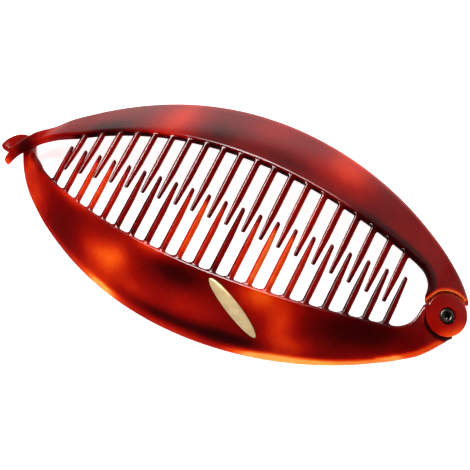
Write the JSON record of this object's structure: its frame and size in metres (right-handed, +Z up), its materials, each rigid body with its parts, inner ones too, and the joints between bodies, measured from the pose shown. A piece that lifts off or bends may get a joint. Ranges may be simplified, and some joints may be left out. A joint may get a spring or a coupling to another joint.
{
  "type": "barrette",
  "caption": "Oval hair clip of arched halves whose comb teeth interleave; they turn on a rivet at one end and hook together at the other.",
  "frame": {"origin": "middle of the clip's footprint, on the plane that the clip lies on", "axes": "+X along the clip from the hook end to the hinge, +Y across it towards the half that carries the finger, +Z up out of the arch"},
  "size_m": [0.1194, 0.0552, 0.0175],
  "materials": {
    "lower_shell": "polished translucent tortoiseshell cellulose acetate, maroon with orange patches",
    "upper_shell": "polished translucent tortoiseshell cellulose acetate, maroon with red and brown patches",
    "rivet_metal": "darkened steel, rolled edge",
    "washer_metal": "darkened steel",
    "ornament_metal": "pale gold plate, softly polished"
  },
  "bodies": {
    "lower": {"lower_half": "lower_shell", "hinge_rivet": "rivet_metal", "rivet_washer": "washer_metal", "ornament_bar": "ornament_metal"},
    "upper": {"upper_half": "upper_shell"}
  },
  "joints": [
    {"name": "hinge", "type": "hinge", "parent": "lower", "child": "upper", "pos_m": [0.05548, 0, 0.00551], "axis": [-0.3907, 0, -0.9205], "range_deg": [0, 90]}
  ]
}
